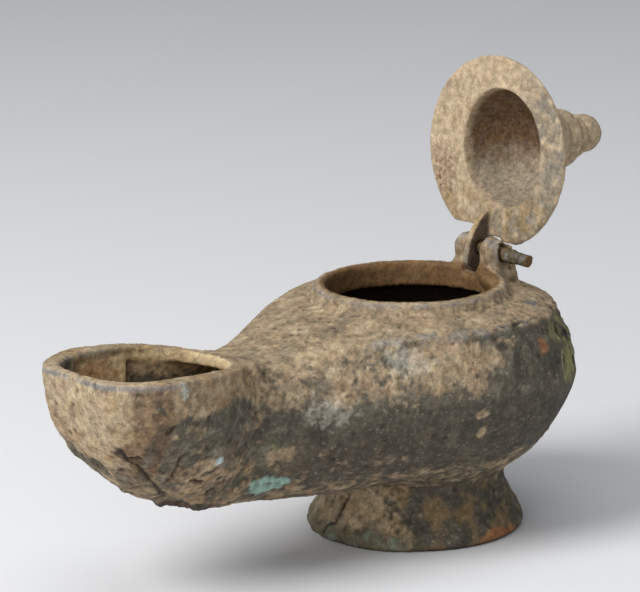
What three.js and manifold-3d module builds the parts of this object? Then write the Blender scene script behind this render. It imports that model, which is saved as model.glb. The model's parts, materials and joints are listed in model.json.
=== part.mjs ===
// An ancient cast bronze oil lamp with a hinged, domed lid standing open.
// Millimetres, +Z up. Sizes are measured from the centre of the ring foot on the ground. The
// nozzle points along -X and the lid's hinge pin runs along Y behind the filling hole.
import * as THREE from 'three';
import { mergeVertices } from 'three/addons/utils/BufferGeometryUtils.js';
import Module from 'manifold-3d';

// ---------------------------------------------------------------- driving sizes
const WALL = 2.4;                 // thickness of the casting round the nozzle's channel

const FOOT = { rim: 20.75, flare: 21.3, neck: 17.2, height: 12.4, ring: 3.2 };
const BOWL = { radius: 32.05, waistZ: 32.7, ridge: 27.2, ridgeZ: 44.6, floorZ: 14.6 };
const COLLAR = { x: -1.4, outer: 19, inner: 16.7, top: 49.15, base: 47.2, throat: 43.5 };

const NOZZLE = { tip: -84.3, neck: -51 };
const WICK_HOLE = { x: -66.7, length: 31.4, width: 26 };
const EAR = { x: -49.2, y: 9.3, radius: 1.8, top: 43.6, bottom: 34 };

const HINGE = { x: 18.8, z: 52.6, eye: 2.6, near: -6, slotNear: -1.1, slotFar: 2.9, far: 6 };
const SLOT_FLOOR = 47.65;
const ROOT_Z = 44;                // the lugs and their web start here, inside the shoulder
const PIN = { radius: 1.25, near: -12.8, far: 6.6, droop: 2.5, hole: 1.6, wornHole: 1.85 };

const LID = { radius: 19.25, edge: 1.2, dome: 14.6 };
const DOME_SHIFT = { toHinge: -0.7, side: -1.05, lean: -2.6 };
const CAVITY = { mouth: 12, narrower: 0.91, depth: 13.2, side: -1.9 };
const LID_HUNG = { fromHinge: 19.4, above: 1.79, y: -0.05, open: 93 };
const FLANGE_CUT = { outer: 1.5, near: 2.3, far: 3.9, step: -2.3, lugTop: 2.05 };
const TANG = { near: 0.8, far: 2.5, sweep: 4.65, heel: 5.06, hole: 1.6 };

const ROUND = 54;                 // facets round the bowl, collar and foot
const HOLLOW_ROUND = 36;          // facets round the hollows inside them
const LID_ROUND = 38;             // facets round the lid
const SMALL_ROUND = 20;           // facets round the pin and its holes
const DEG = Math.PI / 180;

// ---------------------------------------------------------------- solids
const wasm = await Module();
wasm.setup();

// Six times the volume inside a closed mesh; negative when its faces look inwards.
function signedVolume(points, index) {
  const corner = (i) => new THREE.Vector3().fromArray(points, 3 * index[i]);
  let sum = 0;
  for (let i = 0; i < index.length; i += 3) {
    sum += corner(i).dot(corner(i + 1).cross(corner(i + 2)));
  }
  return sum;
}

// A closed mesh geometry as a solid that can be joined and cut, its faces turned outwards.
function solid(geometry) {
  const bare = geometry.clone();
  bare.deleteAttribute('normal');
  bare.deleteAttribute('uv');
  const merged = mergeVertices(bare, 1e-5);
  const vertProperties = new Float32Array(merged.attributes.position.array);
  const triVerts = new Uint32Array(merged.index.array);
  if (signedVolume(vertProperties, triVerts) < 0) triVerts.reverse();
  return new wasm.Manifold(new wasm.Mesh({ numProp: 3, vertProperties, triVerts }));
}

function join(...solids) {
  return solids.reduce((all, next) => all.add(next));
}

// A named mesh of a finished solid.
function sculpted(name, shape, material) {
  const { vertProperties, triVerts } = shape.getMesh();
  const geometry = new THREE.BufferGeometry();
  geometry.setAttribute('position', new THREE.BufferAttribute(new Float32Array(vertProperties), 3));
  geometry.setIndex(new THREE.BufferAttribute(new Uint32Array(triVerts), 1));
  geometry.computeVertexNormals();
  const mesh = new THREE.Mesh(geometry, material);
  mesh.name = name;
  return mesh;
}

// ---------------------------------------------------------------- shape helpers
// A profile of [radius, z] pairs, from axis to axis, turned about the Z axis.
function lathe(profile, facets) {
  const points = profile.map(([radius, z]) => new THREE.Vector2(radius, z));
  return new THREE.LatheGeometry(points, facets).rotateX(Math.PI / 2);
}

function turned(profile, x = 0, facets = ROUND) {
  return solid(lathe(profile, facets).translate(x, 0, 0));
}

// Points along a smooth curve through the given [radius, z] pairs.
function smooth(pairs, steps) {
  const curve = new THREE.SplineCurve(pairs.map(([a, b]) => new THREE.Vector2(a, b)));
  return curve.getPoints(steps).map((point) => [point.x, point.y]);
}

// A value that varies smoothly with x, through [x, value] pairs in rising order of x, and never
// swings past them.
function along(rail, x) {
  const last = rail.length - 1;
  if (x <= rail[0][0]) return rail[0][1];
  if (x >= rail[last][0]) return rail[last][1];
  const slope = (i) => (rail[i + 1][1] - rail[i][1]) / (rail[i + 1][0] - rail[i][0]);
  const tangent = (i) => {
    if (i === 0) return slope(0);
    if (i === last) return slope(last - 1);
    const before = slope(i - 1);
    const after = slope(i);
    return before * after > 0 ? (2 * before * after) / (before + after) : 0;
  };
  const i = rail.findIndex(([at]) => at > x) - 1;
  const span = rail[i + 1][0] - rail[i][0];
  const t = (x - rail[i][0]) / span;
  const start = (1 + 2 * t) * (1 - t) ** 2 * rail[i][1] + t * (1 - t) ** 2 * span * tangent(i);
  const end = t * t * (3 - 2 * t) * rail[i + 1][1] + t * t * (t - 1) * span * tangent(i + 1);
  return start + end;
}

// A skin over a row of rings with the same number of points, closed at both ends by a fan.
function loft(rings) {
  const count = rings[0].length;
  const total = (ring) => ring.reduce((sum, point) => sum.add(point), new THREE.Vector3());
  const middle = (ring) => total(ring).divideScalar(count);
  const last = rings.length - 1;
  const points = [...rings.flat(), middle(rings[0]), middle(rings[last])];
  const index = [];
  for (let i = 0; i < count; i += 1) {
    const next = (i + 1) % count;
    for (let row = 0; row < last; row += 1) {
      const a = row * count + i;
      const b = row * count + next;
      index.push(a, b, b + count, a, b + count, a + count);
    }
    index.push(points.length - 2, next, i);
    index.push(points.length - 1, last * count + i, last * count + next);
  }
  const positions = points.flatMap((point) => [point.x, point.y, point.z]);
  const geometry = new THREE.BufferGeometry();
  geometry.setAttribute('position', new THREE.Float32BufferAttribute(positions, 3));
  geometry.setIndex(index);
  return solid(geometry);
}

// A flat shape in the XZ plane, thickened from y = near to y = far.
function slab(shape, near, far) {
  const extrusion = { depth: far - near, bevelEnabled: false, curveSegments: 8 };
  const plate = new THREE.ExtrudeGeometry(shape, extrusion);
  return solid(plate.rotateX(Math.PI / 2).translate(0, far, 0));
}

// A flat shape in the YZ plane, thickened from x = front to x = back.
function crossSlab(shape, front, back) {
  const plate = new THREE.ExtrudeGeometry(shape, { depth: back - front, bevelEnabled: false });
  return solid(plate.rotateX(Math.PI / 2).rotateZ(Math.PI / 2).translate(front, 0, 0));
}

// A round rod along Y.
function rod(radius, x, z, near, far) {
  const cylinder = new THREE.CylinderGeometry(radius, radius, far - near, SMALL_ROUND);
  return solid(cylinder.translate(x, (near + far) / 2, z));
}

// A box from its least to its greatest corner.
function block([x0, y0, z0], [x1, y1, z1]) {
  const box = new THREE.BoxGeometry(x1 - x0, y1 - y0, z1 - z0);
  return solid(box.translate((x0 + x1) / 2, (y0 + y1) / 2, (z0 + z1) / 2));
}

// ---------------------------------------------------------------- nozzle and its bridge to the bowl
// How the long tapered form changes from the tip to inside the bowl. A section has a crown in the
// middle of the top, a top edge at topHalf, a flank that bulges further out, and a keel below
// that ends the nozzle's front as a narrow facet with an edge on each side.
const RAIL = {
  rimZ: [[-84.3, 45.6], [-68, 45], [-60, 44.4], [-51, 43.1]],
  crownZ: [[-51, 43.1], [-46, 42.6], [-40, 43.1], [-32, 45], [-26, 46], [-5, 46.4]],
  topZ: [[-51, 43.1], [-44, 41.4], [-38, 42.2], [-30, 43.6], [-22, 44.5], [-5, 44.6]],
  topHalf: [[-84.3, 8.8], [-82, 11.8], [-79, 14.3], [-73, 17.1], [-65, 16.7], [-60, 15.6], [-55, 12.5],
    [-51, 9.2], [-46, 8], [-41, 9], [-33, 12.6], [-20, 20.1], [-11, 24.9], [-5, 26.5]],
  bulge: [[-79, 0.1], [-65, 0.4], [-57, 0.9], [-51.5, 2.7], [-46, 4.6], [-33, 7.1], [-20, 6.1], [-5, 4.1]],
  flankZ: [[-84.3, 44], [-80, 41.5], [-66, 39.5], [-48, 35.5], [-38, 33.6], [-25, 32.7]],
  keelZ: [[-84.3, 43.5], [-83.2, 36.6], [-81.6, 32], [-77.8, 25.8], [-75.6, 23.2], [-72.5, 21.2],
    [-65, 17.4], [-56, 15], [-46, 13.7], [-30, 12.2], [-18, 12]],
  edgeHalf: [[-84.3, 8.8], [-80, 8.9], [-75, 7.6], [-64, 2], [-58, 0.8]],
  edgeRise: [[-84.3, 0.3], [-82, 1.3], [-77.5, 2], [-74, 2.6], [-70, 2.2], [-64, 0.9], [-58, 0]],
  roundness: [[-84.3, 1.2], [-70, 1.7], [-62, 1.9], [-5, 2.1]],
};
const OUTER_STATIONS = [NOZZLE.tip, -83.9, -83.1, -81.8, -80, -77.8, -75.5, -73, -69, -64.5, -60.5,
  -57.5, -54.5, NOZZLE.neck - 0.01, -48.5, -45, -41, -36, -30, -23, -16, -10, -5];
const CHANNEL_STATIONS = [-62, -54, -49, -44, -37, -29, -12];
const OUTER_STEPS = { top: 3, flank: 2, keel: 7, front: 2 };
const CHANNEL_STEPS = { top: 2, flank: 2, keel: 4, front: 1 };

// One section at x as a ring of points, drawn in by inset all round.
function section(x, inset, steps) {
  const atRim = x < NOZZLE.neck;
  const crown = along(atRim ? RAIL.rimZ : RAIL.crownZ, x) - inset;
  const topZ = along(atRim ? RAIL.rimZ : RAIL.topZ, x) - inset;
  const topHalf = along(RAIL.topHalf, x) - inset;
  const bulge = along(RAIL.bulge, x);
  const flankHalf = topHalf + bulge;
  const flankZ = Math.min(along(RAIL.flankZ, x), topZ - 0.4);
  const keel = along(RAIL.keelZ, x) + inset;
  const edge = Math.max(along(RAIL.edgeHalf, x) - inset, 0.8);
  const edgeZ = keel + along(RAIL.edgeRise, x);
  const power = 2 / along(RAIL.roundness, x);
  const half = [];
  for (let i = 0; i < steps.top; i += 1) {
    const part = i / steps.top;
    half.push([topHalf * part, crown - (crown - topZ) * part * part]);
  }
  for (let i = 0; i < steps.flank; i += 1) {
    const part = i / steps.flank;
    half.push([topHalf + bulge * Math.sin((part * Math.PI) / 2), topZ - (topZ - flankZ) * part]);
  }
  for (let i = 0; i < steps.keel; i += 1) {
    const turn = (i / steps.keel) * (Math.PI / 2);
    const y = edge + (flankHalf - edge) * Math.cos(turn) ** power;
    half.push([y, flankZ - (flankZ - edgeZ) * Math.sin(turn) ** power]);
  }
  for (let i = 0; i <= steps.front; i += 1) {
    const part = 1 - i / steps.front;
    half.push([edge * part, keel + (edgeZ - keel) * part * part]);
  }
  const mirrored = half.slice(1, -1).reverse().map(([y, z]) => [-y, z]);
  return [...half, ...mirrored].map(([y, z]) => new THREE.Vector3(x, y, z));
}

function nozzleOutside() {
  return loft(OUTER_STATIONS.map((x) => section(x, 0, OUTER_STEPS)));
}

// The passage from the wick hole to the bowl.
function channel() {
  return loft(CHANNEL_STATIONS.map((x) => section(x, WALL, CHANNEL_STEPS)));
}

// One level of the wick basin, a long oval blunter towards the tip.
function oval(z, x, length, width) {
  const count = 28;
  const points = [];
  for (let i = 0; i < count; i += 1) {
    const turn = ((i + 0.5) / count) * 2 * Math.PI;
    const power = Math.cos(turn) < 0 ? 0.72 : 0.9;
    const forward = Math.sign(Math.cos(turn)) * Math.abs(Math.cos(turn)) ** power;
    const sideways = Math.sign(Math.sin(turn)) * Math.abs(Math.sin(turn)) ** power;
    points.push(new THREE.Vector3(x + (length / 2) * forward, (width / 2) * sideways, z));
  }
  return points;
}

// The basin under the wick hole: z, centre x, length and width from its floor up past the rim.
function basin() {
  const { x, length, width } = WICK_HOLE;
  const levels = [
    [20.2, x + 7, 6, 6],
    [23.5, x + 5, 17, 14],
    [29, x + 2.7, 25, 22],
    [36, x + 0.9, length - 1.4, width + 0.8],
    [44.5, x, length, width],
    [50, x - 0.3, length + 2, width + 1.6],
  ];
  return loft(levels.map((level) => oval(...level)));
}

// The worn volute at the end of the shoulder, one on each side of the nozzle.
function ear(side) {
  const post = new THREE.SphereGeometry(EAR.radius, 8, 7);
  post.rotateX(Math.PI / 2);
  post.scale(1, 0.9, (EAR.top - EAR.bottom) / (2 * EAR.radius));
  return solid(post.translate(EAR.x, side * EAR.y, (EAR.top + EAR.bottom) / 2));
}

// ---------------------------------------------------------------- bowl, collar and foot
function bowlOutside() {
  const side = smooth([[FOOT.neck, 12.3], [21.6, 15], [24.9, 18.2], [28, 22.3], [30.9, 28],
    [BOWL.radius, BOWL.waistZ], [30.9, 38], [28.2, 43], [BOWL.ridge, BOWL.ridgeZ]], 12);
  const shoulder = smooth([[BOWL.ridge, BOWL.ridgeZ], [24.5, 46], [20, 46.8]], 2);
  return turned([[0, 12.3], ...side, ...shoulder.slice(1), [0, 46.8]]);
}

function collarOutside() {
  return turned([[0, 46], [20.6, 46], [19.6, COLLAR.base], [COLLAR.outer, 48], [COLLAR.outer, 48.7],
    [COLLAR.outer - 0.7, COLLAR.top], [0, COLLAR.top]], COLLAR.x);
}

function footOutside() {
  const flare = smooth([[FOOT.rim, 0], [FOOT.flare, 1.8], [19.2, 5.6], [17.7, 8.2], [FOOT.neck, 10.7],
    [FOOT.neck + 0.3, FOOT.height + 0.6]], 7);
  return turned([[0, 0], ...flare, [0, FOOT.height + 0.6]]);
}

function bowlInside() {
  const side = smooth([[4, BOWL.floorZ], [14, 15.1], [21.5, 18.2], [28.4, 27.6], [29.6, 33], [28.2, 38.6],
    [24.5, 43.2], [19, 44.3]], 9);
  return turned([[0, BOWL.floorZ], ...side, [0, 44.4]], 0, HOLLOW_ROUND);
}

// The way in through the collar.
function throat() {
  return turned([[0, COLLAR.throat], [COLLAR.inner, COLLAR.throat], [COLLAR.inner, COLLAR.top - 0.5],
    [COLLAR.inner + 0.5, COLLAR.top + 1], [0, COLLAR.top + 1]], COLLAR.x, ROUND);
}

// The recess under the foot.
function footInside() {
  const inner = FOOT.rim - FOOT.ring;
  const recess = [[inner, -1], [inner - 0.2, 1.6], [15.4, 6], [14.2, 10], [12.8, 11.3]];
  return turned([[0, -1], ...recess, [0, 11.6]], 0, HOLLOW_ROUND);
}

// ---------------------------------------------------------------- hinge lugs on the collar
function lugSide() {
  const front = HINGE.x - HINGE.eye;
  const side = new THREE.Shape();
  side.moveTo(front - 1.4, ROOT_Z);
  side.lineTo(front - 1.2, 48.8);
  side.quadraticCurveTo(front - 0.1, 49.6, front, 51);
  side.lineTo(front, HINGE.z);
  side.absarc(HINGE.x, HINGE.z, HINGE.eye, Math.PI, 0.2, true);
  side.lineTo(HINGE.x + 2.7, 50);
  side.lineTo(HINGE.x + 3.2, ROOT_Z);
  side.closePath();
  return side;
}

// One lug seen from behind: straight towards the slot, worn down from its crest to the outer
// edge, and spreading into the collar below.
function lugBack(inner, outer, { crest, wornTo, spread }) {
  const out = Math.sign(outer - inner);
  const back = new THREE.Shape();
  back.moveTo(inner, ROOT_Z);
  back.lineTo(inner, 54.6);
  back.lineTo(inner + out * 0.6, 56);
  back.lineTo(inner + out * crest, 56);
  back.lineTo(outer - out * 0.5, wornTo + 1);
  back.lineTo(outer, wornTo);
  back.lineTo(outer, 51);
  back.quadraticCurveTo(outer, 49.4, outer + out * spread, 48.4);
  back.lineTo(outer + out * (spread + 0.4), ROOT_Z);
  back.closePath();
  return back;
}

function lug(inner, outer, wear) {
  const low = Math.min(inner, outer) - 5;
  const high = Math.max(inner, outer) + 5;
  return slab(lugSide(), low, high).intersect(crossSlab(lugBack(inner, outer, wear), 12, 25));
}

// The groove that the flange has worn over the top of the near lug.
function flangeGroove() {
  const low = [HINGE.x - 5, HINGE.near - 5, HINGE.z + 1.2];
  const over = block(low, [HINGE.x + 5, FLANGE_CUT.step, HINGE.z + 5]);
  return over.subtract(rod(FLANGE_CUT.lugTop, HINGE.x, HINGE.z, HINGE.near - 6, HINGE.slotNear));
}

// The thickened rim inside the collar at the foot of the near lug: a straight ledge across the
// corner, tapering into the wall below.
function lugRoot() {
  const ledge = new THREE.Shape();
  ledge.moveTo(13.8, COLLAR.top - 0.3);
  ledge.lineTo(14.2, COLLAR.top - 0.05);
  ledge.lineTo(18, COLLAR.top - 0.05);
  ledge.lineTo(18, 43);
  ledge.lineTo(17, 43);
  ledge.lineTo(14.2, 47);
  ledge.closePath();
  const plate = new THREE.ExtrudeGeometry(ledge, { depth: 40, bevelEnabled: false });
  plate.rotateX(Math.PI / 2).translate(0, 20, 0).rotateZ(-28.9 * DEG);
  const within = turned([[0, 42], [COLLAR.inner + 0.3, 42], [COLLAR.inner + 0.3, 50], [0, 50]], COLLAR.x);
  return solid(plate).intersect(within).intersect(block([0, -30, 40], [30, HINGE.slotNear, 60]));
}

// ---------------------------------------------------------------- the pieces
function lampBody() {
  const front = HINGE.x - HINGE.eye - 1.3;
  const web = block([front, HINGE.slotNear - 1, ROOT_Z], [HINGE.x + 2.7, HINGE.slotFar + 1, SLOT_FLOOR]);
  const nearLug = lug(HINGE.slotNear, HINGE.near, { crest: 1.3, wornTo: 53.2, spread: 0.9 });
  const farLug = lug(HINGE.slotFar, HINGE.far, { crest: 1.7, wornTo: 54, spread: 0.3 });
  const outside = join(
    bowlOutside(), collarOutside(), footOutside(), nozzleOutside(), ear(1), ear(-1),
    web, nearLug.subtract(flangeGroove()), farLug,
  );
  const hollow = join(bowlInside(), throat(), channel(), basin(), footInside());
  const slot = block([HINGE.x - 7, HINGE.slotNear, SLOT_FLOOR], [HINGE.x + 7, HINGE.slotFar, 60]);
  return outside.subtract(hollow).add(lugRoot()).subtract(slot)
    .subtract(rod(PIN.wornHole, HINGE.x, HINGE.z - 0.2, HINGE.near - 5, HINGE.slotNear + 0.5))
    .subtract(rod(PIN.hole, HINGE.x, HINGE.z + 0.15, HINGE.slotFar - 0.5, HINGE.far + 5));
}

// The lid lies level here: underside at z = 0, flange centred on the Z axis, hinge towards +X.
function flange() {
  return turned([[0, 0], [LID.radius - 0.4, 0], [LID.radius, 0.45], [LID.radius - 0.35, LID.edge],
    [LID.dome, 2], [0, 2]], 0, LID_ROUND + 6);
}

// The dome with its ring moulding and ball knob, leaning a little on the flange.
function dome() {
  const back = smooth([[LID.dome, 1.6], [12.6, 6], [8.6, 12], [6.2, 16], [5.1, 18.2]], 7);
  const ring = [[4.7, 19], [4.9, 19.7], [4.5, 20.7]];
  const ball = [-36, -10, 14, 38, 62].map((turn) => (
    [4 * Math.cos(turn * DEG), 23.5 + 4 * Math.sin(turn * DEG)]));
  const form = lathe([[0, 1], [LID.dome - 0.4, 1], ...back, ...ring, ...ball, [0, 27.5]], LID_ROUND);
  form.rotateY(DOME_SHIFT.lean * DEG);
  return solid(form.translate(DOME_SHIFT.toHinge, DOME_SHIFT.side, 0));
}

// A turned form set in the mouth of the dome, which is narrower across than towards the hinge.
function inMouth(profile) {
  const form = lathe(profile, LID_ROUND);
  form.scale(1, CAVITY.narrower, 1);
  return solid(form.translate(DOME_SHIFT.toHinge, CAVITY.side, 0));
}

// A low lip below the flange, round the near side of the mouth of the dome.
function cavityLip() {
  const { mouth } = CAVITY;
  const lip = inMouth([[0, -0.3], [mouth, -0.3], [mouth + 0.8, 0.4], [0, 0.4]]);
  return lip.translate([-0.5, -0.6, 0]);
}

function cavity() {
  const { mouth, depth } = CAVITY;
  const wall = smooth([[mouth, 0.4], [11.3, 4], [9.7, 7.6], [7, 10.8], [4, 12.7], [0, depth]], 7);
  return inMouth([[0, -1], [mouth + 0.3, -1], ...wall.slice(0, -1), [0, depth]]);
}

// The tang below the flange, which turns on the pin between the lugs. Its heel stops the lid
// from opening further.
function tangShape(axisX, axisZ) {
  const shape = new THREE.Shape();
  shape.moveTo(CAVITY.mouth + 0.2, 1);
  shape.lineTo(CAVITY.mouth + 0.2, -0.4);
  shape.quadraticCurveTo(axisX - 5.5, axisZ - 1, axisX - 2.8, axisZ - 2.35);
  shape.quadraticCurveTo(axisX - 0.6, axisZ - 3.5, axisX + 2.8, axisZ - 3.7);
  shape.absarc(axisX, axisZ, TANG.sweep, -0.924, 0.28, false);
  shape.lineTo(axisX + TANG.heel * Math.cos(0.36), axisZ + TANG.heel * Math.sin(0.36));
  shape.lineTo(axisX + 3.6, axisZ + 2.9);
  shape.lineTo(CAVITY.mouth + 2.4, 1);
  shape.closePath();
  return shape;
}

// The flange is cut straight across by the lugs, deeper on the far side and stepped on the near.
function lid() {
  const axisX = LID_HUNG.fromHinge;
  const axisZ = -LID_HUNG.above;
  const tangNear = TANG.near - LID_HUNG.y;
  const tangFar = TANG.far - LID_HUNG.y;
  const step = FLANGE_CUT.step - 0.25;
  const outerCut = block([axisX - FLANGE_CUT.outer, -6.4, -3], [axisX + 5, step, 3]);
  const nearCut = block([axisX - FLANGE_CUT.near, step, -3], [axisX + 5, tangNear, 3]);
  const farCut = block([axisX - FLANGE_CUT.far, tangNear, -3], [axisX + 5, 14, 3]);
  return join(flange(), dome(), cavityLip()).subtract(cavity())
    .subtract(outerCut).subtract(nearCut).subtract(farCut)
    .add(slab(tangShape(axisX, axisZ), tangNear, tangFar))
    .subtract(rod(TANG.hole, axisX, axisZ, tangNear - 1, tangFar + 1));
}

function hingePin() {
  return solid(new THREE.CylinderGeometry(PIN.radius, PIN.radius, PIN.far - PIN.near, SMALL_ROUND));
}

const patina = new THREE.MeshStandardMaterial({ color: 0x8a8169, roughness: 0.85, metalness: 0.25 });
const paleEarth = new THREE.MeshStandardMaterial({ color: 0xb6a68c, roughness: 0.9, metalness: 0.1 });
const wornPin = new THREE.MeshStandardMaterial({ color: 0x8e8468, roughness: 0.6, metalness: 0.5 });

// The lid turned back about the pin.
const lidMesh = sculpted('lid', lid(), paleEarth);
lidMesh.position.set(-LID_HUNG.fromHinge, 0, LID_HUNG.above);
const lidArm = new THREE.Group();
lidArm.add(lidMesh);
lidArm.rotation.y = LID_HUNG.open * DEG;
lidArm.position.set(HINGE.x, LID_HUNG.y, HINGE.z);

// The pin lies across the lugs and droops towards its near end.
const pin = sculpted('hinge_pin', hingePin(), wornPin);
const pinMiddle = (PIN.near + PIN.far) / 2;
const tangMiddle = (TANG.near + TANG.far) / 2;
pin.rotation.x = PIN.droop * DEG;
pin.position.set(HINGE.x, pinMiddle, HINGE.z + (pinMiddle - tangMiddle) * Math.tan(PIN.droop * DEG));

const lamp = new THREE.Group();
lamp.add(sculpted('lamp_body', lampBody(), patina), lidArm, pin);

// The origin moves to the middle of the ground that the lamp and its open lid cover.
const covered = new THREE.Box3().setFromObject(lamp, true).getCenter(new THREE.Vector3());
lamp.position.set(-covered.x, -covered.y, 0);

export default lamp;
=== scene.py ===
"""An ancient cast bronze oil lamp: corroded bowl, wick nozzle and foot, hinged lid and pin.

The CAD solids give every form and size. Each one is remeshed finely here, its flat facets are
smoothed, and burial crust, flaking, pits, cracks and wear are raised and sunk in its surface.
Blender works in metres; points, sizes and heights in this script are millimetres, measured
from the centre of the ring foot on the ground, with the nozzle along -X and +Z up.
"""

import json
import math
from types import SimpleNamespace

import bpy
import numpy as np
from mathutils import Matrix, Quaternion, Vector

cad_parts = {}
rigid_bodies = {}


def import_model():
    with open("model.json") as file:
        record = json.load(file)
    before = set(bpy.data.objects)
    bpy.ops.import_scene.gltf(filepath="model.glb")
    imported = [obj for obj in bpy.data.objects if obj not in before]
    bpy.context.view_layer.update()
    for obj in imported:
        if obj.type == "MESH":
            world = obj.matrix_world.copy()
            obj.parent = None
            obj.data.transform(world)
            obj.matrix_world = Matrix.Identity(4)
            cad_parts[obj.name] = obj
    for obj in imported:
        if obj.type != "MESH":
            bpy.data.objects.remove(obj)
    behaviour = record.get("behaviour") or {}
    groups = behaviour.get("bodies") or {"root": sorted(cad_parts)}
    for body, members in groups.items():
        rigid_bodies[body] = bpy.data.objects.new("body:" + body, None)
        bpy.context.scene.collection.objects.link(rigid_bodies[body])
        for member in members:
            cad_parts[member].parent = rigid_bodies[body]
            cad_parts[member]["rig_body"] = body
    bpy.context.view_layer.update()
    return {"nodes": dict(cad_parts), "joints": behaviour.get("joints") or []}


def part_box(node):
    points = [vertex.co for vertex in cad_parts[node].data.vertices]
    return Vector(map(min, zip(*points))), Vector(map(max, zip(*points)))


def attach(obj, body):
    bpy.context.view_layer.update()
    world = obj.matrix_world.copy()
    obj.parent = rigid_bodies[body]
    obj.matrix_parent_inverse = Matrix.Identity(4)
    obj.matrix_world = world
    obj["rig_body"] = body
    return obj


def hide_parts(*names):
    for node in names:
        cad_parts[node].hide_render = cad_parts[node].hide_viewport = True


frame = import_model()

MM = 0.001
NOZZLE_REACH = 84.3  # from the foot's centre to the nozzle's tip
FOOT_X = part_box("lamp_body")[0].x / MM + NOZZLE_REACH
HINGE = np.array(frame["joints"][0]["pos_m"]) / MM - (FOOT_X, 0, 0)

VOXEL = {"lamp_body": 0.5, "lid": 0.3, "hinge_pin": 0.16}
VIEW = {"aim": (-7.1, 20.3, 43.6), "azimuth": -40.9, "elevation": 13.83, "roll": -0.73}
VIEW_DISTANCE = 698.0
SENSOR, LENS = 36.0, 196.9
ABOVE_FLOOR = 0.01  # the foot's crust stops this far above the ground


# ------------------------------------------------------------------ noise
def mixed(cells, seed):
    """A random whole number for each lattice cell."""
    x, y, z = (cells[..., i].astype(np.int64) for i in range(3))
    h = (x * 73856093) ^ (y * 19349663) ^ (z * 83492791) ^ (seed * 2654435761)
    h &= 0xFFFFFFFF
    h ^= h >> 15
    h = (h * 2246822519) & 0xFFFFFFFF
    h ^= h >> 13
    h = (h * 3266489917) & 0xFFFFFFFF
    return h ^ (h >> 16)


def bumps(points, size, seed):
    """Smooth noise of about -1 to 1, with bumps about size across."""
    p = points / size + 1000.0
    cell = np.floor(p)
    part = p - cell
    ease = part * part * part * (part * (part * 6 - 15) + 10)
    total = np.zeros(len(points))
    for corner in np.ndindex(2, 2, 2):
        h = mixed(cell + corner, seed)
        slope = np.stack([(h >> s) & 1023 for s in (0, 10, 20)], -1) / 511.5 - 1
        weight = np.prod(np.where(corner, ease, 1 - ease), axis=1)
        total += weight * np.sum(slope * (part - corner), axis=1)
    return total * 1.5


def rough(points, size, seed, octaves=3):
    """Noise with finer and fainter bumps added to the first ones."""
    total, scale = 0.0, 1.0
    for octave in range(octaves):
        total = total + scale * bumps(points, size / 2**octave, seed + octave)
        scale *= 0.55
    return total


def nearest_grain(points, size, seed):
    """Distance to the nearest of many scattered grains, in units of their spacing, and a random
    number from 0 to 1 for that grain."""
    p = points / size + 1000.0
    cell = np.floor(p)
    best = np.full(len(points), 9.0)
    chance = np.zeros(len(points))
    for step in np.ndindex(3, 3, 3):
        there = cell + step - 1
        h = mixed(there, seed)
        grain = there + np.stack([(h >> s) & 1023 for s in (0, 10, 20)], -1) / 1024
        distance = np.linalg.norm(p - grain, axis=1)
        closer = distance < best
        best = np.where(closer, distance, best)
        chance = np.where(closer, ((h * 40503) >> 7 & 1023) / 1024, chance)
    return best, chance


def step(low, high, value):
    """0 below low, 1 above high, smooth between; low may be the larger."""
    t = np.clip((value - low) / (high - low), 0, 1)
    return t * t * (3 - 2 * t)


# ------------------------------------------------------------------ places on the surface
def patch(points, centre, radii, ragged=0.35, size=2.5, edge=0.25, seed=1):
    """1 inside an irregular blot round centre, 0 outside it."""
    reach = np.linalg.norm((points - centre) / radii, axis=1)
    reach = reach + ragged * rough(points, size, seed, 3)
    return step(1 + edge, 1 - edge, reach)


def blots(points, listed, seed, **shape):
    """The union of several patches, each (centre, radius or radii)."""
    total = np.zeros(len(points))
    for i, (centre, radii) in enumerate(listed):
        total = np.maximum(total, patch(points, centre, radii, seed=seed + i, **shape))
    return total


def wobbled(points, amount):
    """Points moved a little to and fro, so that lines drawn through them are uneven."""
    return points + amount * np.stack([rough(points, 2.2, 5 + i, 3) for i in range(3)], 1)


def crack(points, path, width, wobble, view=(1, 1, 1)):
    """1 along a cracked line through the path's points, 0 away from it. A view with a 0 in it
    measures the distance as seen along that axis."""
    moved = wobbled(points, wobble) * view
    best = np.full(len(points), 1e9)
    for start, end in zip(path, path[1:]):
        a, b = np.array(start, float), np.array(end, float)
        along = np.clip((moved - a) @ (b - a) / np.dot(b - a, b - a), 0, 1)
        best = np.minimum(best, np.linalg.norm(moved - a - along[:, None] * (b - a), axis=1))
    return step(width, width * 0.35, best)


def side_crack(points, path, width, wobble):
    """A crack drawn as seen from the near side, through (x, z) points."""
    return crack(points, [(x, 0, z) for x, z in path], width, wobble, view=(1, 0, 1))


def side_on(x, z, wide, high):
    """A patch as seen from the near side: its centre and its half width and height."""
    return (x, 0, z), (wide, np.inf, high)


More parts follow.
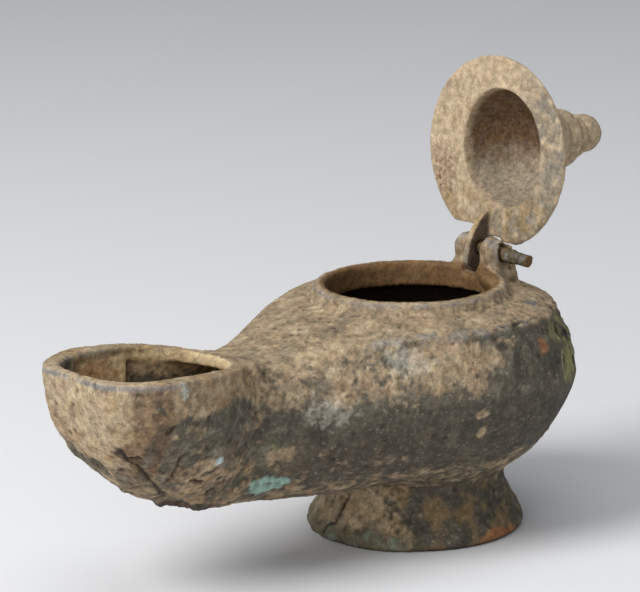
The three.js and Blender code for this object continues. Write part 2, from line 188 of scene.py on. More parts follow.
# ------------------------------------------------------------------ meshes
class Skin:
    """A finely meshed copy of a CAD node, with its points in millimetres from the foot."""

    def __init__(self, node, name):
        self.body = node["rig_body"]
        self.node = node.name
        rough_copy = bpy.data.objects.new(name, node.data.copy())
        bpy.context.scene.collection.objects.link(rough_copy)
        remesh = rough_copy.modifiers.new("fine", "REMESH")
        remesh.mode = "VOXEL"
        remesh.voxel_size = VOXEL[node.name] * MM
        bpy.context.view_layer.update()
        graph = bpy.context.evaluated_depsgraph_get()
        mesh = bpy.data.meshes.new_from_object(rough_copy.evaluated_get(graph))
        rough_copy.modifiers.clear()
        rough_copy.data = mesh
        self.object, self.mesh = rough_copy, mesh
        mesh.name = name
        mesh.materials.clear()
        mesh.polygons.foreach_set("use_smooth", np.ones(len(mesh.polygons), bool))
        self.edges = np.zeros(len(mesh.edges) * 2, np.int32)
        mesh.edges.foreach_get("vertices", self.edges)
        self.edges = self.edges.reshape(-1, 2)
        flat = np.zeros(len(mesh.vertices) * 3, np.float32)
        mesh.vertices.foreach_get("co", flat)
        self.points = flat.reshape(-1, 3).astype(float) / MM - (FOOT_X, 0, 0)
        self.count = np.bincount(self.edges.ravel(), minlength=len(self.points))

    def spread(self, values):
        """The mean of each point's neighbours."""
        a, b = self.edges.T
        columns = values.reshape(len(values), -1).T
        size = len(values)
        sums = [np.bincount(a, c[b], size) + np.bincount(b, c[a], size) for c in columns]
        return (np.stack(sums, 1) / np.maximum(self.count, 1)[:, None]).reshape(values.shape)

    def soften(self, values, rounds):
        for _ in range(rounds):
            values = values + 0.5 * (self.spread(values) - values)
        return values

    def store(self):
        flat = ((self.points + (FOOT_X, 0, 0)) * MM).astype(np.float32)
        self.mesh.vertices.foreach_set("co", flat.ravel())
        self.mesh.update()

    def normals(self):
        self.store()
        flat = np.zeros(len(self.points) * 3, np.float32)
        self.mesh.vertex_normals.foreach_get("vector", flat)
        return flat.reshape(-1, 3).astype(float)

    def smooth_facets(self, rounds, keep_rounds, soft, hard):
        """Rounds off the CAD's flat facets. An arris that turns by hard degrees or more keeps its
        place, apart from keep_rounds of smoothing everywhere."""
        self.points = self.soften(self.points, 1)
        mean = self.soften(self.normals(), 8)
        bend = 2 * np.degrees(np.arccos(np.clip(np.linalg.norm(mean, axis=1), 0, 1)))
        free = step(hard, soft, self.soften(bend, 2))[:, None]
        for _ in range(rounds):
            self.points += 0.5 * free * (self.spread(self.points) - self.points)
        self.points = self.soften(self.points, keep_rounds)

    def raise_by(self, height):
        self.points += self.normals() * height[:, None]

    def attribute(self, name, values):
        made = self.mesh.attributes.new(name, "FLOAT", "POINT")
        made.data.foreach_set("value", values.astype(np.float32))

    def paint(self, colours):
        made = self.mesh.attributes.new("tint", "FLOAT_COLOR", "POINT")
        filled = np.concatenate([colours, np.ones((len(colours), 1))], 1)
        made.data.foreach_set("color", filled.astype(np.float32).ravel())

    def finish(self, material):
        self.store()
        self.mesh.materials.append(material)
        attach(self.object, self.body)
        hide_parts(self.node)


# ------------------------------------------------------------------ colours
def linear(hex_colour):
    channels = np.array([int(hex_colour[i : i + 2], 16) for i in (0, 2, 4)]) / 255
    return np.where(channels <= 0.04045, channels / 12.92, ((channels + 0.055) / 1.055) ** 2.4)


COLOUR = {
    name: linear(code)
    for name, code in {
        "slate": "5c5548",
        "slate_dark": "403b31",
        "slate_green": "52513f",
        "slate_pale": "857d6b",
        "gold_brown": "6b4a22",
        "basin_tan": "e6cda0",
        "blue_grey": "73767a",
        "earth": "a38d6e",
        "earth_pale": "bba889",
        "earth_pink": "a98f76",
        "ochre": "94784c",
        "rust": "a4683a",
        "red": "7c3420",
        "brown": "6a4d36",
        "dark_brown": "3a2a20",
        "black": "15120f",
        "lid_pale": "b5a184",
        "lid_grey": "7c7568",
        "verdigris": "8aa598",
        "pale_blue": "b8ccc9",
        "olive": "544c30",
        "sulphur": "949059",
        "white": "c9c3b4",
    }.items()
}


class Paint:
    """Colours laid over each other, one for each point of a skin."""

    def __init__(self, name, count):
        self.colours = np.tile(COLOUR[name], (count, 1))

    def lay(self, name, amount):
        self.colours += np.clip(amount, 0, 1)[:, None] * (COLOUR[name] - self.colours)


# ------------------------------------------------------------------ materials
def new_material(name):
    material = bpy.data.materials.new(name)
    material.use_nodes = True
    tree = material.node_tree
    shader = tree.nodes["Principled BSDF"]
    return material, tree, shader


def crusted(name, roughness, grain, relief):
    """Old bronze: the painted tint broken up by fine light and dark grains, and a grainy relief."""
    material, tree, shader = new_material(name)
    nodes, links = tree.nodes, tree.links

    def node(kind, **values):
        made = nodes.new(kind)
        for key, value in values.items():
            if hasattr(made, key):
                setattr(made, key, value)
            else:
                made.inputs[key].default_value = value
        return made

    place = node("ShaderNodeTexCoord").outputs["Object"]

    def noise(size, detail, harsh=0.6):
        made = node("ShaderNodeTexNoise", Scale=1 / (size * MM), Detail=detail, Roughness=harsh)
        links.new(place, made.inputs["Vector"])
        return made.outputs["Fac"]

    def ramp(source, low, high, start, end):
        made = node("ShaderNodeMapRange", interpolation_type="SMOOTHSTEP")
        made.inputs["From Min"].default_value = low
        made.inputs["From Max"].default_value = high
        made.inputs["To Min"].default_value = start
        made.inputs["To Max"].default_value = end
        links.new(source, made.inputs["Value"])
        return made.outputs["Result"]

    def times(a, b):
        made = node("ShaderNodeMath", operation="MULTIPLY")
        links.new(a, made.inputs[0])
        links.new(b, made.inputs[1])
        return made.outputs[0]

    def mix(amount, under, over, blend="MIX"):
        made = node("ShaderNodeMix", data_type="RGBA", blend_type=blend)
        for socket, value in ((0, amount), (6, under), (7, over)):
            if isinstance(value, bpy.types.NodeSocket):
                links.new(value, made.inputs[socket])
            else:
                made.inputs[socket].default_value = value
        return made.outputs[2]

    def attribute(which):
        return node("ShaderNodeAttribute", attribute_name=which)

    tint = attribute("tint").outputs["Color"]
    grains = ramp(noise(1.3 * grain, 9, 0.8), 0.43, 0.33, 0, 1)
    dark = times(attribute("dark_grains").outputs["Fac"], grains)
    flecks = ramp(noise(0.9 * grain, 6, 0.75), 0.57, 0.68, 0, 1)
    pale = times(attribute("pale_grains").outputs["Fac"], flecks)
    mottle = ramp(noise(1.8 * grain, 8, 0.75), 0.32, 0.68, 0.62, 1.3)
    fine = ramp(noise(0.4 * grain, 4, 0.7), 0.3, 0.7, 0.82, 1.16)
    shade = node("ShaderNodeCombineColor")
    for channel in ("Red", "Green", "Blue"):
        links.new(times(mottle, fine), shade.inputs[channel])
    varied = mix(1.0, tint, shade.outputs["Color"], "MULTIPLY")
    darker = mix(dark, varied, (0.035, 0.022, 0.014, 1))
    links.new(mix(pale, darker, (0.55, 0.48, 0.38, 1)), shader.inputs["Base Color"])
    gloss = ramp(noise(1.1 * grain, 3), 0.3, 0.7, roughness - 0.08, roughness + 0.1)
    links.new(gloss, shader.inputs["Roughness"])
    shader.inputs["Specular IOR Level"].default_value = 0.35
    bump = node("ShaderNodeBump", Strength=0.85, Distance=relief * MM)
    links.new(noise(0.5 * grain, 5, 0.65), bump.inputs["Height"])
    links.new(bump.outputs["Normal"], shader.inputs["Normal"])
    return material


# ------------------------------------------------------------------ the lamp's body
def earth_cover(p, n, parts):
    """How much of the metal the tan burial earth hides, from 0 to 1."""
    x, y, z = p.T
    side = 0.12 + step(31, 36, z) * (0.1 + 0.18 * step(2, -12, x) + 0.2 * step(-18, -30, x))
    side += 0.3 * step(25, 18, z)
    cover = np.maximum(side, np.maximum(parts["up"] * 0.97, parts["shoulder"] * 0.95))
    cover = cover - 0.34 * parts["shoulder"] * step(-6, 8, x) * step(-18, -22, y - 0.2 * x)
    flank = 0.34 + 0.6 * step(37, 40, z) * step(-77, -73, x) + 0.2 * step(28, 22, z)
    front = step(-79, -80.5, x + 0.16 * y)
    flank = flank + (1.05 - flank) * front
    cover = cover + (flank - cover) * parts["nozzle"] * (1 - parts["up"])
    foot = 0.18 + 0.85 * step(-8, -15, x - 0.35 * y) + 0.2 * step(6, 14, x)
    cover = cover + (foot - cover) * parts["foot"]
    cover = np.maximum(cover, parts["collar"] * 0.9)
    cover = np.maximum(cover, parts["basin"] * 1.1)
    return cover


# Marks on the near side, to the nearest millimetre or so as (x, z), and each crack's width.
SIDE_CRACKS = (
    ([(-81, 33), (-80, 31), (-78, 31)], 0.42),
    ([(-80, 31), (-77, 28), (-72, 24), (-67, 20)], 0.34),
    ([(-75, 36), (-74, 37)], 0.36),
    ([(-71, 25), (-71, 30), (-70, 31)], 0.42),
    ([(-67, 25), (-65, 24), (-64, 24)], 0.5),
    ([(-63, 23), (-62, 25)], 0.4),
    ([(-55, 19), (-52, 21)], 0.36),
)
BACK_SPLIT = [(16, 45), (16, 43), (15, 41), (17, 38)]
TAN_BLOTS = [side_on(-12, 40, 5, 4), side_on(-15, 42, 6, 3), side_on(-11, 37, 2, 3),
             side_on(-6, 40, 1.6, 1.3), side_on(-18, 38, 4, 3.4), side_on(-50, 40, 3, 3.6),
             side_on(-10, 30, 1.2, 0.9), side_on(-9, 26, 0.8, 1.1), side_on(-66, 27, 3, 1.6),
             side_on(-45, 25, 2.6, 1.8), side_on(-67, 42, 5, 2), side_on(-55, 43, 4, 1.4)]
SLATE_BLOTS = [side_on(-60, 36, 5, 5), side_on(-41, 30, 9, 3.6), side_on(4, 36, 9, 6),
               side_on(-5, 25, 14, 6)]
WHITE_BLOTS = [side_on(-22, 41, 3, 2.6), side_on(-37, 33, 3, 2)]
GREEN_BLOTS = [side_on(-47, 19, 2.9, 1.7), side_on(-44, 19, 2, 1.4)]

FOOT_CRACK = [(0, 0, 9), (0, 1, 7), (0, 1, 4), (0, 4, 1)]  # as seen from the nozzle
BRIDGE_EDGE = [(-48, -12, 44), (-34, -15, 44), (-21, -19, 44.5), (-13, -24, 44.5)]
RIDGE_RADIUS, RIDGE_HEIGHT = 27.2, 44.6
COLLAR_X, BASIN_X = -1.4, -66.7
FAR_EAR = (-49.2, 9.3)


def ridge_line(points, start, end, inside, width, wobble):
    """1 along the bowl's ridge between two angles round the foot, or inside it by that much."""
    x, y, z = wobbled(points, wobble).T
    around = np.degrees(np.arctan2(y, x))
    off = np.hypot(np.hypot(x, y) - RIDGE_RADIUS + inside, z - RIDGE_HEIGHT + 0.2)
    within = step(start - 1, start + 1, around) * step(end + 1, end - 1, around)
    return step(width, width * 0.35, off) * within


def body_parts(p, n):
    x, y, z = p.T
    from_collar = np.hypot(x - COLLAR_X, y)
    radius = np.hypot(x, y)
    parts = {
        "up": step(0.3, 0.8, n[:, 2]) * step(40, 42, z),
        "foot": step(12.6, 11.6, z) * step(23, 22, radius),
        "nozzle": step(-49, -53, x),
        "shoulder": step(44.0, 44.8, z) * step(31, 29, radius),
        "collar": step(20.9, 20.2, from_collar) * step(46.4, 47, z),
        "throat": step(17.9, 17.4, from_collar) * step(42.6, 43.4, z),
        "basin": step(14.4, 13.2, np.hypot((x - BASIN_X) / 1.16, y)) * step(43.6, 42.8, z) * step(24, 27, z),
    }
    outward = (n[:, 0] * x + n[:, 1] * y) / np.maximum(radius, 1)
    inside = step(43.6, 42.9, z) * step(31.2, 29.8, radius) * step(13.4, 14.4, z)
    parts["inside"] = inside * step(0.2, -0.2, outward - 0.6 * n[:, 2])
    from_wick = np.maximum(np.hypot(x - BASIN_X, y), 1)
    away = (n[:, 0] * (x - BASIN_X) + n[:, 1] * y) / from_wick
    parts["basin"] = parts["basin"] * step(0.1, -0.2, away - 0.8 * n[:, 2])
    ragged = rough(p, 5, 40, 3)
    scar = step(10.5, 13.5, x + 2.4 * ragged) * step(29.5, 32.5, z + 1.5 * ragged)
    parts["scar"] = scar * step(44.8, 43.4, z) * step(27, 28.5, radius)
    parts["near"] = step(1, -1, y) * step(0.2, -0.1, n[:, 1])
    return parts


def body_marks(p, n, parts):
    """Everything laid on or cut into the casting, each from 0 to 1 for each point."""
    x, y, z = p.T
    inside = parts["inside"]
    foot = parts["foot"]
    nozzle = parts["nozzle"]
    near = parts["near"]
    coarse = rough(p, 7.0, 3, 4)
    medium = rough(p, 2.6, 11, 4)
    fine = rough(p, 0.95, 21, 3)
    breakup = 0.26 * coarse + 0.3 * medium + 0.2 * fine
    cover = earth_cover(p, n, parts)
    cover = cover - 0.4 * near * blots(p, SLATE_BLOTS, seed=80, ragged=0.4, size=4, edge=0.5)
    earth = step(0.32, 0.72, cover + breakup)
    tan = near * blots(p, TAN_BLOTS, seed=60, ragged=0.5, size=2.2, edge=0.25)
    earth = np.maximum(earth, tan * step(-0.9, -0.1, breakup)) * (1 - inside)

    # Flaked layers on the nozzle's flank and keel.
    flaked = step(-44, -58, x) * step(38, 31, z) * step(-82, -79, x)
    layers = rough(p * (1, 1, 1.5), 9.5, 31, 3) * 2.2
    terrace = np.floor(layers) + step(0.38, 0.62, layers - np.floor(layers))
    pit_far, pit_chance = nearest_grain(p, 2.3, 50)
    pits = step(0.34, 0.12, pit_far) * step(0.6, 0.75, pit_chance)
    small_far, small_chance = nearest_grain(p, 1.15, 51)
    small_pits = step(0.42, 0.16, small_far) * step(0.5, 0.6, small_chance)

    cracks = crack(p, FOOT_CRACK, 0.4, 0.35, view=(0, 1, 1)) * step(-10, -12, x) * foot
    for path, width in SIDE_CRACKS:
        cracks = np.maximum(cracks, near * side_crack(p, path, width, 0.35))
    bridge_edge = crack(p, BRIDGE_EDGE, 1.5, 0.3)
    # Worn metal along the ridge and the bridge's edge, also used as a painted highlight along that edge.
    ridge_worn_highlight = np.maximum(bridge_edge, ridge_line(p, -118, -84, 0, 1.5, 0.5))
    ridge_raised = np.maximum(bridge_edge, ridge_line(p, -118, -42, 0.3, 1.5, 0.3))
    ridge_split = ridge_line(p, -97, -42, 0.6, 0.55, 0.3)
    back_split = near * side_crack(p, BACK_SPLIT, 0.6, 0.5)
    hole = near * patch(p, *side_on(-60, 20.5, 0.9, 0.7), 0.3, 1.5, 0.3, 90)

    # Copper salts and thick crust.
    green = near * blots(p, GREEN_BLOTS, seed=95, ragged=0.35, size=1.8, edge=0.12)
    speck = near * patch(p, *side_on(-62, 28, 1, 0.8), 0.35, 1, 0.3, 97)
    rim_speck = near * patch(p, *side_on(-72, 43.5, 0.8, 1.2), 0.5, 0.8, 0.4, 98)
    foot_crust = foot * step(4.6, 1.8, z + 1.6 * rough(p, 3, 33, 3)) * step(-4, -12, x - 0.5 * y)
    keel_crust = patch(p, (-61, -2.5, 17), (8, 3.4, 2.2), 0.35, 2.5, 0.25, 99) * step(0.1, -0.4, n[:, 2])
    front_crust = patch(p, (-82, -2, 31), (3, 4.5, 2.2), 0.5, 2, 0.4, 92)
    return SimpleNamespace(
        coarse=coarse, medium=medium, fine=fine, earth=earth, flaked=flaked, terrace=terrace,
        pits=pits, small_pits=small_pits, cracks=cracks, ridge_worn_highlight=ridge_worn_highlight,
        ridge_raised=ridge_raised, ridge_split=ridge_split, back_split=back_split, hole=hole,
        green=green, speck=speck, rim_speck=rim_speck, foot_crust=foot_crust,
        keel_crust=keel_crust, front_crust=front_crust,
    )


def body_relief(p, n, parts, marks):
    """How far each point of the casting is raised by crust or sunk by damage."""
    z = p[:, 2]
    inside = parts["inside"]
    scar = parts["scar"]
    collar = parts["collar"]
    height = 0.10 * rough(p, 11, 2, 2) + 0.05 * marks.medium + 0.04 * marks.fine
    height += marks.earth * (0.12 + 0.06 * marks.fine)
    height -= 0.16 * marks.pits * (1 - collar) + 0.08 * marks.small_pits * (0.3 + 0.7 * marks.earth)
    height += marks.flaked * 0.34 * marks.terrace
    height += 0.35 * marks.ridge_raised
    height -= 0.6 * marks.cracks + 0.4 * marks.ridge_split + 0.6 * marks.back_split + 0.9 * marks.hole
    height += 0.4 * marks.green * (1 + 0.5 * marks.fine) + 0.2 * marks.speck
    height += 0.1 * marks.rim_speck + 0.25 * marks.front_crust
    height += marks.foot_crust * (0.45 + 0.3 * rough(p, 2.4, 35, 3))
    height += marks.keel_crust * (0.6 + 0.5 * rough(p, 3, 36, 3))
    height += scar * (0.55 * rough(p, 4.5, 41, 4) - 0.4)
    height *= 1 - 0.75 * inside
    flat_base = step(0.35, 0.1, z) * step(-0.5, -0.8, n[:, 2])
    height *= 1 - flat_base
    return height


def body_paint(skin, p, n, parts, marks):
    """The colours of the casting, with painted shade in its hollows, inside the bowl, on its lower half and
    on the foot.
    """
    x, y, z = p.T
    inside = parts["inside"]
    scar = parts["scar"]
    foot = parts["foot"]
    nozzle = parts["nozzle"]
    collar = parts["collar"]
    near = parts["near"]
    # Masks for painted shade in the hollows of the relief, at a wide and a small scale.
    cavity = hollowness(skin, 10)
    small_hollow_shade = hollowness(skin, 3)

    paint = Paint("slate", len(p))
    paint.lay("slate_dark", step(-0.2, 0.5, marks.coarse) * 0.65)
    paint.lay("slate_green", step(0.1, 0.6, rough(p, 6, 17, 3)) * 0.6)
    paint.lay("slate_pale", step(0.0, 0.6, rough(p, 3.1, 18, 5)) * (0.45 + 0.3 * nozzle))
    paint.lay("brown", (0.3 + 0.4 * nozzle) * step(34, 24, z) * step(-0.3, 0.5, marks.medium) * (1 - inside))
    paint.lay("blue_grey", step(0.0, 0.6, rough(p, 5, 19, 3)) * parts["shoulder"] * step(-12, 6, x) * 0.7)
    # Painted shade: the lower half of the bowl, below its widest point, is painted darker.
    bowl = step(-46, -36, x) * (1 - foot) * (1 - inside)
    paint.lay("slate_dark", bowl * step(33.2, 31.6, z) * step(16, 20, z) * 0.55)
    # Painted shade: the foot under the bowl is painted darker.
    paint.lay("slate_dark", foot * 0.5)
    paint.lay("earth", marks.earth * (0.66 + 0.3 * step(-0.4, 0.4, marks.fine)))
    paint.lay("earth_pale", foot * marks.earth * step(-8, -15, x - 0.35 * y) * 0.6)
    paint.lay("earth_pale", nozzle * marks.earth * step(-79, -81, x + 0.16 * y) * 0.5)
    paint.lay("earth_pale", marks.earth * step(0.0, 0.7, rough(p, 3.4, 23, 4)) * 0.7)
    paint.lay("earth_pink", marks.earth * step(0.1, 0.7, rough(p, 5.2, 27, 3)) * 0.5)
    paint.lay("slate", marks.earth * step(0.1, 0.6, rough(p, 4.4, 28, 5)) * 0.4 * (1 - nozzle))
    paint.lay("ochre", step(-0.1, 0.5, rough(p, 4.5, 29, 3)) * (0.45 * nozzle * marks.earth + 0.5 * foot))
    chamfer = step(-73.5, -75, x) * step(-83.2, -82.4, x + 0.16 * y) * step(-6, -9, y)
    chamfer *= step(44.6, 43.8, z) * step(24, 28, z)
    paint.lay("brown", 0.62 * chamfer * step(-0.7, 0.1, marks.medium))
    paint.lay("dark_brown", 0.5 * chamfer * step(0.1, 0.5, rough(p, 1.6, 38, 4)))
    paint.lay("brown", 0.45 * step(0.15, 0.5, rough(p, 2.2, 37, 3)) * marks.earth * (1 - parts["up"]))
    white = near * blots(p, WHITE_BLOTS, seed=70, ragged=1.3, size=1.1, edge=0.5)
    paint.lay("white", 0.32 * white)
    paint.lay("rust", 0.7 * near * patch(p, *side_on(7, 40, 1.3, 1.3), 0.7, 1.5, 0.25, 72))
    paint.lay("rust", 0.7 * patch(p, (-70, 9, 39), (5, 4, 3), 0.7, 1.5, 0.25, 73))
    paint.lay("rust", 0.7 * near * patch(p, *side_on(3, 1, 5, 1.4), 0.7, 1.5, 0.25, 74))
    paint.lay("rust", 0.5 * marks.front_crust * step(0, 0.5, marks.fine))
    paint.lay("sulphur", scar * step(-0.5, 0.3, rough(p, 3.2, 43, 3)) * 0.8)
    paint.lay("black", scar * step(0.25, 0.5, rough(p, 2.6, 45, 4)) * 0.85)
    rim = nozzle * step(44.3, 44.8, z) * step(-55, -60, x) * step(0.9, 0.5, n[:, 2])
    paint.lay("blue_grey", rim * step(-0.6, 0.2, marks.medium) * 0.75)
    # Blue grey along the ridge: worn metal and a painted highlight.
    paint.lay("blue_grey", marks.ridge_worn_highlight * step(-0.6, 0.3, marks.medium) * 0.55)
    lip = collar * step(18.3, 18.8, np.hypot(x - COLLAR_X, y)) * step(48.0, 48.6, z)
    paint.lay("blue_grey", lip * step(-0.5, 0.4, marks.medium) * 0.55)
    paint.lay("verdigris", marks.green)
    paint.lay("pale_blue", np.maximum(marks.speck * 0.9, marks.rim_speck * 0.5))
    paint.lay("slate_green", marks.foot_crust * 0.7)
    paint.lay("verdigris", marks.foot_crust * step(-0.1, 0.6, rough(p, 2, 47, 3)) * 0.35)
    paint.lay("dark_brown", marks.keel_crust * 0.9)
    split = 1.1 * marks.cracks + 1.2 * marks.ridge_split + marks.back_split + marks.hole
    paint.lay("black", np.clip(split, 0, 0.93))
    paint.lay("dark_brown", 0.55 * marks.pits * (1 - collar) + 0.3 * marks.small_pits)
    paint.lay("gold_brown", parts["throat"] * 0.85)
    paint.lay("basin_tan", parts["basin"] * 0.95)
    paint.lay("rust", parts["basin"] * patch(p, (-70, 10, 40), (5, 5, 4), 0.8, 2, 0.5, 93) * 0.6)
    # Painted shade: the inside of the bowl, seen through the collar, is painted dark brown.
    paint.lay("dark_brown", inside * 0.9)
    # Painted shadow: the foot's outer edge where it meets the ground is painted dark brown.
    paint.lay("dark_brown", foot * step(0.9, 0.2, z) * step(20, 20.5, np.hypot(x, y)) * 0.85)
    # Painted shade: dark brown laid into the hollows, except in the wick basin.
    paint.lay("dark_brown", np.clip(cavity * 0.4 + small_hollow_shade * 0.3, 0, 0.7) * (1 - parts["basin"]))
    return paint


def lamp_body_skin():
    skin = Skin(frame["nodes"]["lamp_body"], "lamp_body_crusted")
    skin.smooth_facets(rounds=60, keep_rounds=1, soft=9, hard=15)
    p = skin.points.copy()
    n = skin.normals()
    parts = body_parts(p, n)
    marks = body_marks(p, n, parts)
    skin.raise_by(body_relief(p, n, parts, marks))
    # The ear on the far side is worn lower.
    from_ear = np.hypot(skin.points[:, 0] - FAR_EAR[0], p[:, 1] - FAR_EAR[1])
    far_ear = step(3.2, 2.2, from_ear) * step(41.6, 42.2, p[:, 2])
    skin.points[:, 2] -= 1.1 * far_ear
    skin.points[:, 2] = np.maximum(skin.points[:, 2], ABOVE_FLOOR)
    paint = body_paint(skin, p, n, parts, marks)
    skin.paint(paint.colours)
    skin.attribute("dark_grains", np.clip(0.22 + 0.4 * marks.earth + 0.2 * parts["nozzle"], 0, 1))
    skin.attribute("pale_grains", np.clip(0.3 * (1 - marks.earth), 0, 1) * (1 - parts["inside"]))
    skin.finish(crusted("patinated_bronze", 0.72, 1.0, 0.2))
    return skin


def hollowness(skin, rounds):
    """How far each point lies in a hollow of the relief, from 0 on the open surface to 1. The paint darkens
    hollows by it as painted shade.
    """
    n = skin.normals()
    sunk = np.sum((skin.soften(skin.points, rounds) - skin.points) * n, axis=1)
    return step(0.02, 0.16, sunk)


# ------------------------------------------------------------------ the lid
LID_OPEN = 93.0  # the lid's flange stands this many degrees from level
LID_CENTRE = np.array([-19.4, 0.05, 1.79])  # of its flange, from the hinge, when level


def level_lid(points):
    """Points turned about the hinge so that the lid lies level with its flange's centre at the
    origin, its underside at z = 0 and the hinge towards +X."""
    turn = np.array(Matrix.Rotation(math.radians(-LID_OPEN), 3, "Y"))
    return (points - HINGE) @ turn.T - LID_CENTRE


def lid_skin():
    skin = Skin(frame["nodes"]["lid"], "lid_crusted")
    skin.smooth_facets(rounds=30, keep_rounds=2, soft=12, hard=20)
    p = level_lid(skin.points)
    n = level_lid(skin.points + skin.normals()) - p
    x, y, z = p.T
    from_centre = np.hypot(x, y)
    across = np.hypot((x + 0.7) / 12, (y + 1.9) / 10.9)
    cavity = step(1.05, 0.95, across) * step(14.5, 13.5, z) * step(0.2, -0.1, n[:, 2])
    under = step(0.6, 0.2, z) * step(-0.3, -0.6, n[:, 2])

    medium = rough(p, 2.4, 111, 4)
    fine = rough(p, 0.9, 121, 3)
    far, chance = nearest_grain(p, 1.0, 150)
    pits = step(0.4, 0.12, far) * step(0.6, 0.7, chance)
    scab = patch(p, (6.5, 14.2, 0), (5.2, 3.4, 3), 0.5, 2, 0.45, 160)
    small_crack = crack(p, [(-11, -7, 0), (-9, -10, 0)], 0.32, 0.2)
    height = 0.09 * rough(p, 7, 102, 3) + 0.04 * medium + 0.022 * fine
    height -= 0.10 * pits * (0.25 + 0.75 * np.maximum(cavity, scab))
    height += cavity * 0.12 * rough(p, 4, 131, 3) - 0.25 * small_crack - scab * 0.12 * step(0, 0.5, fine)
    # The back of the dome is leaner than the CAD's, with deeper grooves round the knob's neck.
    back = step(0.1, 0.4, (n[:, 0] * x + n[:, 1] * y) / np.maximum(from_centre, 0.5) + n[:, 2])
    height -= 1.2 * back * step(2, 5, z) * step(17, 13, z)
    for groove, depth_of in ((15.4, 0.7), (19.3, 0.8)):
        height -= depth_of * back * np.exp(-(((z - groove) / 0.6) ** 2))
    height += 0.35 * back * np.exp(-(((z - 17.3) / 0.9) ** 2))
    skin.raise_by(height)
    hollow = hollowness(skin, 8)

    paint = Paint("lid_pale", len(p))
    paint.lay("earth_pink", step(0, 0.7, rough(p, 6, 113, 3)) * 0.5)
    paint.lay("lid_grey", under * step(2, -9, y - 0.4 * x) * step(-0.7, 0.2, medium) * 0.85)
    paint.lay("earth", step(0.1, 0.7, rough(p, 3.2, 117, 4)) * 0.6)
    paint.lay("ochre", under * step(4, 12, x) * step(-0.4, 0.5, rough(p, 3.6, 115, 4)) * 0.6)
    paint.lay("ochre", step(0.3, 0.8, rough(p, 2.1, 119, 3)) * 0.3)
    # Painted shade in the lid's hollow: greyer in its depth, and brown in its upper part, which faces down.
    deep_cavity_shade = cavity * step(0.6, 3, z)
    shaded_upper_cavity = deep_cavity_shade * step(6, -3, x + 2.5 * medium)
    paint.lay("lid_grey", deep_cavity_shade * 0.6)
    paint.lay("brown", shaded_upper_cavity * 0.8)
    paint.lay("gold_brown", shaded_upper_cavity * step(-0.2, 0.5, rough(p, 3, 123, 3)) * 0.6)
    paint.lay("dark_brown", shaded_upper_cavity * step(0.1, 0.5, fine) * 0.35)
    paint.lay("red", scab * pits)
    paint.lay("brown", scab * step(-0.2, 0.3, fine) * 0.6)
    paint.lay("dark_brown", small_crack * 0.9)
    paint.lay("dark_brown", pits * (0.15 + 0.3 * cavity))
    # Painted shade: brown laid into the hollows of the relief.
    paint.lay("brown", hollow * 0.4)
    # Painted shade: the tang's side that faces the near lug is painted dark brown.
    shaded_tang = step(11, 12.5, x) * step(0.2, -0.6, z)
    paint.lay("dark_brown", shaded_tang * step(-0.2, -0.6, n[:, 1]) * 0.85)
    skin.paint(paint.colours)
    # More dark grains in the lid's shaded hollow, as part of its painted shade.
    skin.attribute("dark_grains", np.clip(0.22 + 0.6 * deep_cavity_shade + 0.5 * scab, 0, 1))
    skin.attribute("pale_grains", np.full(len(p), 0.2))
    skin.finish(crusted("encrusted_bronze", 0.82, 0.8, 0.16))
    return skin


# ------------------------------------------------------------------ the pin
def pin_skin():
    skin = Skin(frame["nodes"]["hinge_pin"], "hinge_pin_worn")
    skin.smooth_facets(rounds=8, keep_rounds=2, soft=25, hard=40)
    p = skin.points.copy()
    y = p[:, 1]
    lumps = step(-10.5, -8, y) * step(-5.8, -6.3, y)
    height = 0.05 * rough(p, 1.6, 202, 3) + lumps * (0.22 + 0.2 * rough(p, 1.5, 204, 2))
    height -= 0.12 * step(0.2, 0.5, rough(p, 1.2, 206, 2))
    skin.raise_by(height)
    paint = Paint("olive", len(p))
    paint.lay("slate", step(-0.2, 0.4, rough(p, 1.8, 208, 3)) * 0.7)
    paint.lay("blue_grey", step(0.2, 0.6, rough(p, 1.3, 210, 3)) * 0.5)
    paint.lay("dark_brown", step(0.1, 0.5, rough(p, 1.1, 212, 3)) * 0.6)
    paint.lay("brown", step(-7.4, -6.2, y) * 0.6)
    paint.lay("gold_brown", step(-12.2, -12.6, y) * 0.8)
    skin.paint(paint.colours)
    skin.attribute("dark_grains", np.full(len(p), 0.5))
    skin.attribute("pale_grains", np.full(len(p), 0.3))
    skin.finish(crusted("worn_pin", 0.6, 0.7, 0.08))
    return skin


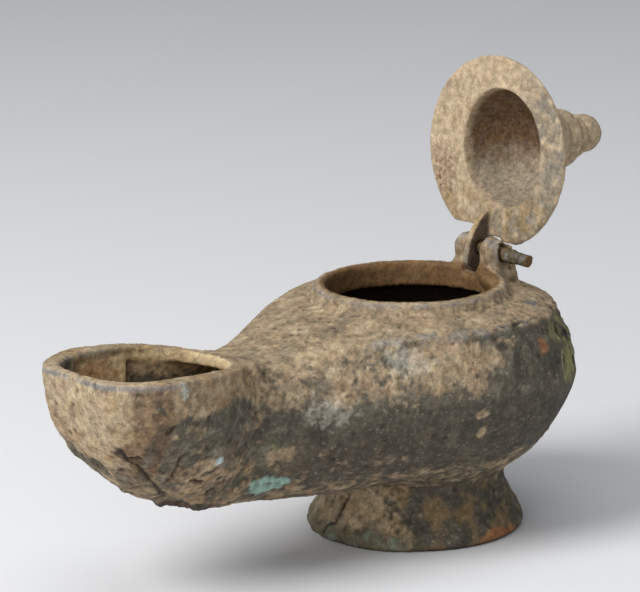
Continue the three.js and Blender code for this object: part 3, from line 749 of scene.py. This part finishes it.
# ------------------------------------------------------------------ floor, light and camera
def make_floor():
    mesh = bpy.data.meshes.new("floor")
    half = 6.0
    corners = [(-half, -half, 0), (half, -half, 0), (half, half, 0), (-half, half, 0)]
    mesh.from_pydata(corners, [], [(0, 1, 2, 3)])
    floor = bpy.data.objects.new("floor", mesh)
    bpy.context.scene.collection.objects.link(floor)
    material, _, shader = new_material("pale_floor")
    shader.inputs["Base Color"].default_value = (0.78, 0.78, 0.79, 1)
    shader.inputs["Roughness"].default_value = 0.9
    mesh.materials.append(material)


def towards(azimuth, elevation):
    """The direction from the lamp to a place at that azimuth and elevation, in degrees."""
    a, e = math.radians(azimuth), math.radians(elevation)
    return Vector((math.sin(a) * math.cos(e), -math.cos(a) * math.cos(e), math.sin(e)))


def make_light(name, azimuth, elevation, distance, size, power):
    light = bpy.data.lights.new(name, "AREA")
    light.shape, light.size, light.energy = "DISK", size, power
    made = bpy.data.objects.new(name, light)
    bpy.context.scene.collection.objects.link(made)
    aim = Vector((FOOT_X * MM, 0, 0.04))
    direction = towards(azimuth, elevation)
    made.location = aim + direction * distance
    made.rotation_mode = "QUATERNION"
    made.rotation_quaternion = (-direction).to_track_quat("-Z", "Y")


def make_lights():
    make_light("key", -95, 42, 0.9, 0.5, 6.7)
    make_light("front", -52, 15, 1.2, 0.9, 3.5)
    make_light("top", -20, 85, 1.0, 0.9, 2.5)
    world = bpy.data.worlds.new("studio")
    bpy.context.scene.world = world
    world.use_nodes = True
    background = world.node_tree.nodes["Background"]
    background.inputs["Color"].default_value = (0.9, 0.95, 1, 1)
    background.inputs["Strength"].default_value = 0.3


def make_camera():
    camera = bpy.data.cameras.new("camera")
    camera.sensor_width, camera.lens = SENSOR, LENS
    camera.clip_start, camera.clip_end = 0.01, 50
    made = bpy.data.objects.new("camera", camera)
    bpy.context.scene.collection.objects.link(made)
    back = towards(VIEW["azimuth"], VIEW["elevation"])
    aim = (Vector(VIEW["aim"]) + Vector((FOOT_X, 0, 0))) * MM
    made.location = aim + back * VIEW_DISTANCE * MM
    made.rotation_mode = "QUATERNION"
    roll = Quaternion((0, 0, 1), math.radians(VIEW["roll"]))
    made.rotation_quaternion = (-back).to_track_quat("-Z", "Y") @ roll
    bpy.context.scene.camera = made


make_camera()
make_lights()
make_floor()
lamp_body_skin()
lid_skin()
pin_skin()
bpy.context.scene.view_settings.view_transform = "Standard"
bpy.context.view_layer.update()
